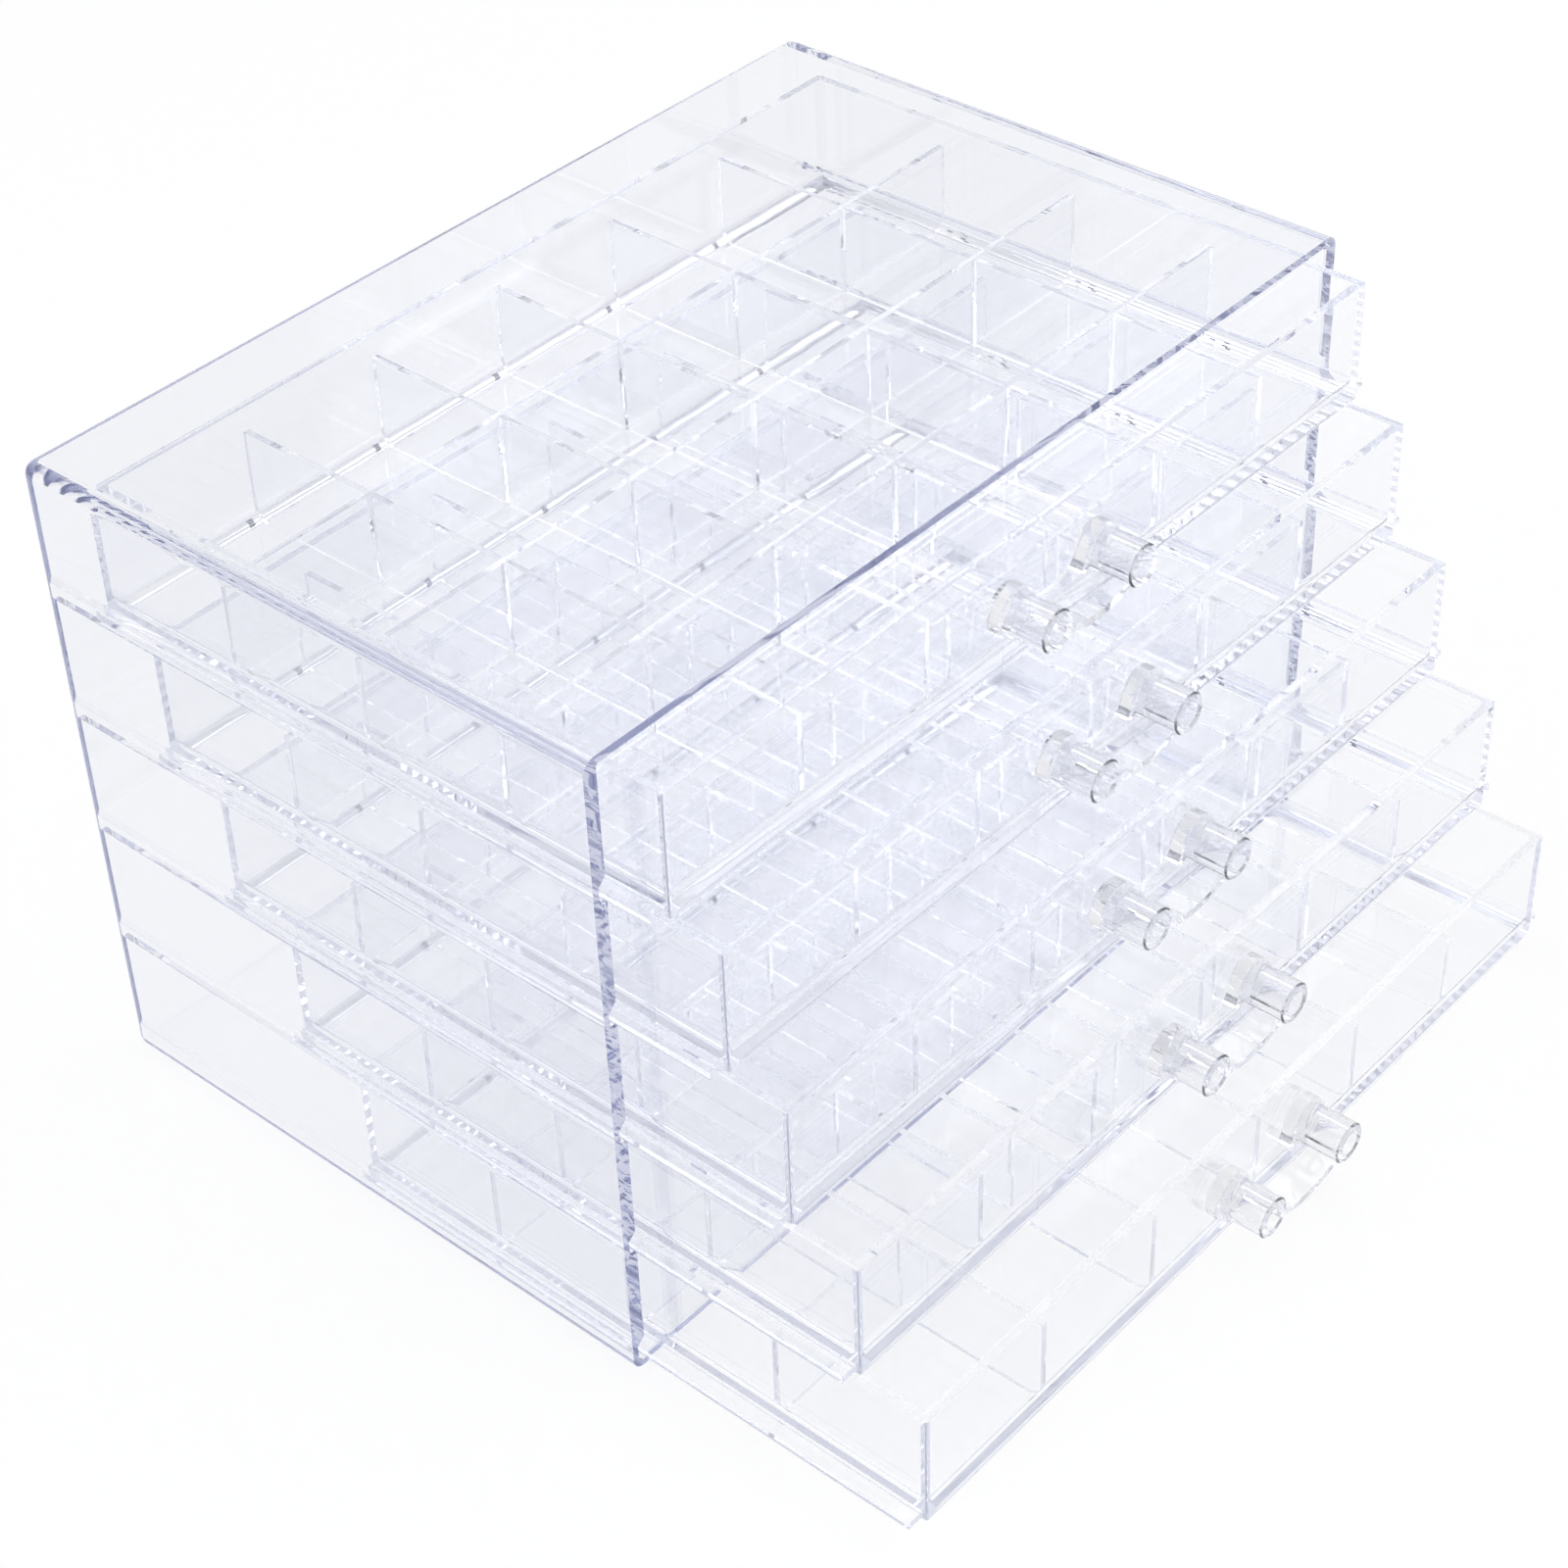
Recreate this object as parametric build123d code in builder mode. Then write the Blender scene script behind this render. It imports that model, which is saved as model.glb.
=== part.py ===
"""Clear five-drawer organiser: an open-fronted moulded casing, and five sliding
trays, each with an interlocking grid of dividers and a two-peg pull.

+X is right when facing the drawers, the drawers open towards -Y, +Z is up.
The origin is the middle of the casing's underside. Millimetres.
"""

import os

from build123d import *

# ---------------------------------------------------------------- driving dimensions

# casing
case_width = 235.0
case_depth = 155.0
case_height = 158.0
side_wall = 1.9            # at the bottom of a runner groove
rail_thickness = 1.9       # what the side wall gains between two grooves
top_thickness = 2.2
base_thickness = 2.0
back_thickness = 2.0
case_edge_radius = 3.2     # outer long edges and back edges
case_mouth_break = 0.4     # broken front edges of the mouth
groove_height = 4.2
groove_corner_break = 0.4
rail_shoulder = 1.4        # sloped lower shoulder of each rail, above the groove

# drawers
drawer_count = 5
tray_front = 2.0
tray_wall = 1.8
tray_floor = 1.8
floor_fillet = 3.6         # scooped foot of every tray wall, inside
tray_corner_radius = 0.6
runner_width = 4.0         # flange past the tray's side, riding in the groove
runner_thickness = 1.8
runner_drop = 0.4          # the tray's underside hangs this far below its runners
runner_setback = 1.2       # the runner starts this far behind the drawer's face

# dividers
column_count = 6
row_count = 4
divider_thickness = 1.5
divider_rim_drop = 5.2     # divider tops lie this far below the tray's rim
divider_corner_radius = 3.9

# pulls
peg_spacing = 27.8
peg_radius = 4.75
peg_length = 13.2
peg_bore_radius = 2.7
peg_bore_depth = 8.8
peg_edge_break = 0.4
lobe_radius = 5.8          # base flange round each peg's root
lobe_thickness = 3.0
web_thickness = 1.8
web_sag = 4.0              # how far the finger web dips between the pegs
web_setback = 0.5          # web edge behind the pegs' ends
web_blend_radius = 3.0

# clearances
rail_gap = 0.9             # runner tip to groove bottom
seat_gap = 0.3             # runner to ledge, tray to base, tray to back wall
stack_gap = 2.0            # tray's rim to the underside of the tray above
lid_gap = 2.5              # top tray's rim to the casing's top
divider_end_gap = 0.15
divider_foot_gap = 0.05    # divider feet to the tray's floor
glue_film = 0.05           # between a pull and the face it is bonded to
slot_gap = 0.1             # each side of a halved joint

# how far each drawer stands open, top drawer first
pull_outs = [12.5, 25.0, 39.0, 55.0, 71.0]

# ---------------------------------------------------------------- derived sizes

case_front = -case_depth / 2
case_back = case_depth / 2
groove_half_width = case_width / 2 - side_wall
rail_half_width = groove_half_width - rail_thickness

runner_half_width = groove_half_width - rail_gap
lowest_underside = base_thickness + seat_gap
stack_height = case_height - top_thickness - lid_gap + stack_gap - lowest_underside
drawer_pitch = stack_height / drawer_count
tray_height = drawer_pitch - stack_gap
tray_width = 2 * (runner_half_width - runner_width)
tray_depth = case_depth - back_thickness - seat_gap
inner_width = tray_width - 2 * tray_wall
inner_depth = tray_depth - tray_front - tray_wall

column_pitch = (inner_width + divider_thickness) / column_count
row_pitch = (inner_depth + divider_thickness) / row_count
column_offsets = [(k - column_count / 2) * column_pitch for k in range(1, column_count)]
row_offsets = [(k - row_count / 2) * row_pitch for k in range(1, row_count)]
divider_height = tray_height - tray_floor - divider_foot_gap - divider_rim_drop
slot_depth = divider_height / 2 + slot_gap
slot_width = divider_thickness + 2 * slot_gap


def underside_of(number):
    """Height of a drawer's underside; number 1 is the top drawer."""
    return lowest_underside + (drawer_count - number) * drawer_pitch


def face_of(number):
    """Y of a drawer's front face where it stands open."""
    return case_front - pull_outs[number - 1]


def facing_front(y):
    """A plane seen from the front: its x is X, its y is Z, its normal is -Y."""
    return Plane(origin=(0, y, 0), x_dir=(1, 0, 0), z_dir=(0, -1, 0))


def facing_side(x):
    """A plane seen from the right: its x is Y, its y is Z, its normal is +X."""
    return Plane(origin=(x, 0, 0), x_dir=(0, 1, 0), z_dir=(1, 0, 0))


# ---------------------------------------------------------------- casing


def build_casing():
    with BuildPart() as casing:
        with BuildSketch():
            Rectangle(case_width, case_depth)
        extrude(amount=case_height)
        closed_edges = casing.edges().filter_by(lambda e: e.center().Y > case_front + 1)
        fillet(closed_edges, case_edge_radius)

        # the mouth, with one runner groove a drawer in each side wall
        cavity_height = case_height - base_thickness - top_thickness
        groove_tops = []
        with BuildSketch(facing_front(case_front)) as mouth:
            with Locations((0, base_thickness + cavity_height / 2)):
                Rectangle(2 * rail_half_width, cavity_height)
            for number in range(1, drawer_count + 1):
                ledge = underside_of(number) + runner_drop - seat_gap
                low = base_thickness if number == drawer_count else ledge
                high = ledge + groove_height
                groove_tops.append(high)
                with Locations((0, (low + high) / 2)):
                    Rectangle(2 * groove_half_width, high - low)
            corners = mouth.vertices()
            shoulders = corners.filter_by(
                lambda v: abs(v.X) < rail_half_width + 0.01
                and any(abs(v.Y - top) < 0.01 for top in groove_tops)
            )
            chamfer([v for v in corners if v not in shoulders], groove_corner_break)
            chamfer(shoulders, rail_shoulder)
        extrude(amount=-(case_depth - back_thickness), mode=Mode.SUBTRACT)

        mouth_face = casing.faces().sort_by(Axis.Y)[0]
        chamfer(mouth_face.inner_wires()[0].edges(), case_mouth_break)
    return casing


# ---------------------------------------------------------------- drawer pieces


def build_tray(number):
    base, face = underside_of(number), face_of(number)
    with BuildPart() as tray:
        middle = face + tray_depth / 2
        with BuildSketch(Plane.XY.offset(base)):
            with Locations((0, middle)):
                RectangleRounded(tray_width, tray_depth, tray_corner_radius)
        extrude(amount=tray_height)

        # runners, one flange along each side
        runner_length = tray_depth - runner_setback
        with BuildSketch(Plane.XY.offset(base + runner_drop)):
            with Locations((0, face + runner_setback + runner_length / 2)):
                Rectangle(2 * runner_half_width, runner_length)
        extrude(amount=runner_thickness)

        # the hollow, scooped where the walls meet the floor
        with BuildPart(mode=Mode.PRIVATE) as hollow:
            with BuildSketch(Plane.XY.offset(base + tray_floor)):
                with Locations((0, face + tray_front + inner_depth / 2)):
                    Rectangle(inner_width, inner_depth)
            extrude(amount=tray_height)
            fillet(hollow.faces().sort_by(Axis.Z)[0].edges(), floor_fillet)
        add(hollow.part, mode=Mode.SUBTRACT)
    return tray


def divider_outline(length, height):
    """Outline of a divider strip, its lower corners rounded to clear the scoops."""
    reach, r = length / 2, divider_corner_radius
    with BuildLine() as outline:
        left = Line((-reach, height), (-reach, r))
        scoop = RadiusArc(left @ 1, (-reach + r, 0), -r)
        foot = Line(scoop @ 1, (reach - r, 0))
        far_scoop = RadiusArc(foot @ 1, (reach, r), -r)
        right = Line(far_scoop @ 1, (reach, height))
        Line(right @ 1, left @ 0)
    make_face(outline.edges())


def build_lengthwise_dividers(number):
    """Strips that run front to back, slotted from above."""
    foot = underside_of(number) + tray_floor + divider_foot_gap
    middle = face_of(number) + tray_front + inner_depth / 2
    with BuildPart() as dividers:
        for x in column_offsets:
            plane = facing_side(x - divider_thickness / 2)
            with BuildSketch(plane.shift_origin((x - divider_thickness / 2, middle, foot))):
                divider_outline(inner_depth - 2 * divider_end_gap, divider_height)
                with Locations(*[(y, divider_height) for y in row_offsets]):
                    Rectangle(slot_width, 2 * slot_depth, mode=Mode.SUBTRACT)
            extrude(amount=divider_thickness)
    return dividers


def build_crosswise_dividers(number):
    """Strips that run side to side, slotted from below."""
    foot = underside_of(number) + tray_floor + divider_foot_gap
    middle = face_of(number) + tray_front + inner_depth / 2
    with BuildPart() as dividers:
        for offset_y in row_offsets:
            y = middle + offset_y + divider_thickness / 2
            with BuildSketch(facing_front(y).shift_origin((0, y, foot))):
                divider_outline(inner_width - 2 * divider_end_gap, divider_height)
                with Locations(*[(x, 0) for x in column_offsets]):
                    Rectangle(slot_width, 2 * slot_depth, mode=Mode.SUBTRACT)
            extrude(amount=divider_thickness)
    return dividers


def finger_web():
    """The web's section: a strip of even thickness that dips between the pegs."""
    with BuildLine() as section:
        dip = ThreePointArc((-peg_spacing / 2, 0), (0, -web_sag), (peg_spacing / 2, 0))
        offset(dip, amount=web_thickness / 2, side=Side.BOTH, mode=Mode.REPLACE)
    make_face(section.edges())


def build_pull(number):
    """Two hollow pegs on a lobed base, joined by a finger web."""
    root_y = face_of(number) - glue_film
    tip_y = root_y - peg_length
    axis_height = underside_of(number) + tray_height / 2
    root = facing_front(root_y).shift_origin((0, root_y, axis_height))
    tip = facing_front(tip_y).shift_origin((0, tip_y, axis_height))
    peg_places = [(-peg_spacing / 2, 0), (peg_spacing / 2, 0)]
    with BuildPart() as pull:
        with BuildSketch(root) as base:
            with Locations(*peg_places):
                Circle(lobe_radius)
            finger_web()
            waist = base.vertices().filter_by(lambda v: abs(v.X) < peg_spacing / 2)
            fillet(waist, web_blend_radius)
        extrude(amount=lobe_thickness)
        with BuildSketch(root):
            finger_web()
        extrude(amount=peg_length - web_setback)
        with BuildSketch(root):
            with Locations(*peg_places):
                Circle(peg_radius)
        extrude(amount=peg_length)
        rims = pull.faces().sort_by(Axis.Y)[:2].edges()
        chamfer(rims, peg_edge_break)
        with BuildSketch(tip):
            with Locations(*peg_places):
                Circle(peg_bore_radius)
        extrude(amount=-peg_bore_depth, mode=Mode.SUBTRACT)
    return pull


# ---------------------------------------------------------------- export

pieces = {"casing": build_casing()}
for drawer in range(1, drawer_count + 1):
    pieces[f"drawer_{drawer}_tray"] = build_tray(drawer)
    pieces[f"drawer_{drawer}_lengthwise_dividers"] = build_lengthwise_dividers(drawer)
    pieces[f"drawer_{drawer}_crosswise_dividers"] = build_crosswise_dividers(drawer)
    pieces[f"drawer_{drawer}_pull"] = build_pull(drawer)

os.makedirs("parts", exist_ok=True)
for name, piece in pieces.items():
    piece.part.label = name
    export_step(piece.part, f"parts/{name}.step")
    print(f"{name}: {len(piece.part.solids())} solids, {piece.part.volume / 1000:.2f} cm3")
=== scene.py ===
"""Looks for the clear five-drawer organiser: moulded clear plastic on a white studio floor."""

import math

import bpy
from mathutils import Matrix, Vector

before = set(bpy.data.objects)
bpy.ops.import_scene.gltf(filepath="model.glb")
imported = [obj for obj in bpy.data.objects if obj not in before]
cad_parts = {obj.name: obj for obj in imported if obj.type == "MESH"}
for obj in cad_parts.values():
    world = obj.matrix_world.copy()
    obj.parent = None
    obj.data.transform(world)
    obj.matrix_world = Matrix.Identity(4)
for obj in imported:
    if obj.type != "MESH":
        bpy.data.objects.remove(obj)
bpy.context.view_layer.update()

# ---------------------------------------------------------------- camera

CAMERA_PLACE = Vector((-0.4314, -0.4109, 0.5191))
CAMERA_AIM = Vector((-0.0142, -0.0309, 0.0654))
CAMERA_ROLL = math.radians(-2.28)
CAMERA_LENS = 76.78          # mm on a 36 mm sensor


def add_camera():
    data = bpy.data.cameras.new("camera")
    data.lens = CAMERA_LENS
    data.sensor_width = 36.0
    data.clip_start = 0.01
    camera = bpy.data.objects.new("camera", data)
    bpy.context.scene.collection.objects.link(camera)
    turn = (CAMERA_AIM - CAMERA_PLACE).to_track_quat("-Z", "Y").to_matrix().to_4x4()
    camera.matrix_world = Matrix.Translation(CAMERA_PLACE) @ turn @ Matrix.Rotation(CAMERA_ROLL, 4, "Z")
    bpy.context.scene.camera = camera


# ---------------------------------------------------------------- clear plastic


def clear_plastic(name, tint, absorb, density, ripple, ripple_size):
    """Clear moulded styrene: slow waves from the mould, faint haze and fine wear, tinted by depth."""
    material = bpy.data.materials.new(name)
    material.use_nodes = True
    tree = material.node_tree
    tree.nodes.clear()
    new, link = tree.nodes.new, tree.links.new

    shader = new("ShaderNodeBsdfPrincipled")
    shader.inputs["Transmission Weight"].default_value = 1.0
    shader.inputs["IOR"].default_value = 1.5
    output = new("ShaderNodeOutputMaterial")
    link(shader.outputs["BSDF"], output.inputs["Surface"])

    depth = new("ShaderNodeVolumeAbsorption")
    depth.inputs["Color"].default_value = (*absorb, 1)
    depth.inputs["Density"].default_value = density
    link(depth.outputs["Volume"], output.inputs["Volume"])

    place = new("ShaderNodeTexCoord")

    # scuffs: small patches where handling has softened the gloss
    haze = new("ShaderNodeTexNoise")
    haze.inputs["Scale"].default_value = 45.0
    haze.inputs["Detail"].default_value = 1.0
    link(place.outputs["Object"], haze.inputs["Vector"])
    rough = new("ShaderNodeMapRange")
    rough.inputs["From Min"].default_value = 0.62
    rough.inputs["From Max"].default_value = 0.82
    rough.inputs["To Min"].default_value = 0.0
    rough.inputs["To Max"].default_value = 0.05
    link(haze.outputs["Fac"], rough.inputs["Value"])
    link(rough.outputs["Result"], shader.inputs["Roughness"])

    # colour varies by a hair across the moulding
    shade = new("ShaderNodeMix")
    shade.data_type = "RGBA"
    shade.inputs["A"].default_value = (*tint, 1)
    shade.inputs["B"].default_value = (*[min(1.0, c * 1.01) for c in tint], 1)
    link(haze.outputs["Fac"], shade.inputs["Factor"])
    link(shade.outputs["Result"], shader.inputs["Base Color"])

    # slow waves left by the mould, with a finer ripple on top
    waves = new("ShaderNodeTexNoise")
    waves.inputs["Scale"].default_value = 1.0 / ripple_size
    waves.inputs["Detail"].default_value = 1.0
    waves.inputs["Roughness"].default_value = 0.35
    link(place.outputs["Object"], waves.inputs["Vector"])
    bump = new("ShaderNodeBump")
    bump.inputs["Strength"].default_value = 1.0
    bump.inputs["Distance"].default_value = ripple
    link(waves.outputs["Fac"], bump.inputs["Height"])
    link(bump.outputs["Normal"], shader.inputs["Normal"])
    return material


def dress():
    casing = clear_plastic("clear_casing", (0.950, 0.954, 0.970), (0.50, 0.53, 0.72), 5.0, 0.00003, 0.014)
    tray = clear_plastic("clear_tray", (0.968, 0.971, 0.981), (0.50, 0.53, 0.68), 2.4, 0.000015, 0.012)
    divider = clear_plastic("clear_divider", (0.968, 0.971, 0.981), (0.50, 0.53, 0.68), 2.4, 0.000012, 0.008)
    pull = clear_plastic("clear_pull", (0.950, 0.952, 0.960), (0.50, 0.51, 0.56), 19.0, 0.000012, 0.004)
    for name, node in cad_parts.items():
        kind = name.split("_")[-1]
        chosen = {"casing": casing, "tray": tray, "dividers": divider, "pull": pull}[kind]
        for place in node.material_slots:
            place.material = chosen


# ---------------------------------------------------------------- studio


FLOOR_WHITE = 0.8            # share of the floor that stays white under the box's shadow


def seen_directly(tree):
    """1 where a ray comes from the camera, from a reflection or through the plastic."""
    path = tree.nodes.new("ShaderNodeLightPath")
    mirrored = tree.nodes.new("ShaderNodeMath")
    mirrored.operation = "MAXIMUM"
    tree.links.new(path.outputs["Is Glossy Ray"], mirrored.inputs[0])
    tree.links.new(path.outputs["Is Transmission Ray"], mirrored.inputs[1])
    seen = tree.nodes.new("ShaderNodeMath")
    seen.operation = "MAXIMUM"
    tree.links.new(path.outputs["Is Camera Ray"], seen.inputs[0])
    tree.links.new(mirrored.outputs[0], seen.inputs[1])
    return seen.outputs[0]


def add_floor():
    half = 6.0
    mesh = bpy.data.meshes.new("studio_floor")
    mesh.from_pydata([(-half, -half, 0), (half, -half, 0), (half, half, 0), (-half, half, 0)], [], [(0, 1, 2, 3)])
    floor = bpy.data.objects.new("studio_floor", mesh)
    bpy.context.scene.collection.objects.link(floor)
    floor.location.z = -0.0004
    material = bpy.data.materials.new("studio_floor")
    material.use_nodes = True
    tree = material.node_tree
    tree.nodes.clear()
    new, link = tree.nodes.new, tree.links.new
    shaded = new("ShaderNodeBsdfDiffuse")
    shaded.inputs["Color"].default_value = (0.97, 0.97, 0.97, 1)
    backdrop = new("ShaderNodeEmission")
    backdrop.inputs["Color"].default_value = (1, 1, 1, 1)
    seen = seen_directly(tree)
    share = new("ShaderNodeMath")
    share.operation = "MULTIPLY"
    share.inputs[1].default_value = FLOOR_WHITE
    link(seen, share.inputs[0])
    mix = new("ShaderNodeMixShader")
    link(share.outputs[0], mix.inputs["Fac"])
    link(shaded.outputs[0], mix.inputs[1])
    link(backdrop.outputs[0], mix.inputs[2])
    output = new("ShaderNodeOutputMaterial")
    link(mix.outputs[0], output.inputs["Surface"])
    mesh.materials.append(material)


def add_lamp(name, place, size, power):
    data = bpy.data.lights.new(name, "AREA")
    data.shape = "RECTANGLE"
    data.size, data.size_y = size
    data.energy = power
    lamp = bpy.data.objects.new(name, data)
    bpy.context.scene.collection.objects.link(lamp)
    lamp.location = place
    lamp.rotation_euler = (Vector((0, 0, 0.06)) - Vector(place)).to_track_quat("-Z", "Y").to_euler()


DARK_SIDE = Vector((-0.45, -0.55, 0.70)).normalized()    # the unlit end of the studio
DARK_SIDE_COLOUR = (0.16, 0.17, 0.21, 1)


def light_world():
    world = bpy.data.worlds.new("studio")
    world.use_nodes = True
    bpy.context.scene.world = world
    tree = world.node_tree
    tree.nodes.clear()
    new, link = tree.nodes.new, tree.links.new

    place = new("ShaderNodeTexCoord")
    towards = new("ShaderNodeVectorMath")
    towards.operation = "DOT_PRODUCT"
    towards.inputs[1].default_value = DARK_SIDE
    link(place.outputs["Generated"], towards.inputs[0])
    fade = new("ShaderNodeMapRange")
    fade.interpolation_type = "SMOOTHSTEP"
    fade.inputs["From Min"].default_value = 0.50
    fade.inputs["From Max"].default_value = 0.85
    link(towards.outputs["Value"], fade.inputs["Value"])
    path = new("ShaderNodeLightPath")
    unseen = new("ShaderNodeMath")                       # the camera itself sees white there
    unseen.operation = "SUBTRACT"
    unseen.inputs[0].default_value = 1.0
    link(path.outputs["Is Camera Ray"], unseen.inputs[1])
    dark_share = new("ShaderNodeMath")
    dark_share.operation = "MULTIPLY"
    link(fade.outputs["Result"], dark_share.inputs[0])
    link(unseen.outputs[0], dark_share.inputs[1])
    surround = new("ShaderNodeMix")
    surround.data_type = "RGBA"
    surround.inputs["A"].default_value = (1, 1, 1, 1)
    surround.inputs["B"].default_value = DARK_SIDE_COLOUR
    link(dark_share.outputs[0], surround.inputs["Factor"])

    white = new("ShaderNodeBackground")
    link(surround.outputs["Result"], white.inputs["Color"])
    fill = new("ShaderNodeBackground")
    fill.inputs["Color"].default_value = (0.97, 0.98, 1, 1)
    fill.inputs["Strength"].default_value = 0.65
    mix = new("ShaderNodeMixShader")
    link(seen_directly(tree), mix.inputs["Fac"])
    link(fill.outputs[0], mix.inputs[1])
    link(white.outputs[0], mix.inputs[2])
    output = new("ShaderNodeOutputWorld")
    link(mix.outputs[0], output.inputs["Surface"])


def set_view():
    scene = bpy.context.scene
    scene.view_settings.view_transform = "Standard"
    scene.cycles.max_bounces = 256
    scene.cycles.transmission_bounces = 256
    scene.cycles.glossy_bounces = 256
    scene.cycles.blur_glossy = 0.0


add_camera()
dress()
add_floor()
add_lamp("lamp_above", (0.1, 0.1, 1.5), (1.6, 1.6), 8.0)
add_lamp("lamp_left", (-1.3, 0.4, 0.8), (1.0, 0.8), 4.0)
add_lamp("lamp_right", (1.2, -0.7, 0.9), (1.0, 0.8), 4.0)
light_world()
set_view()
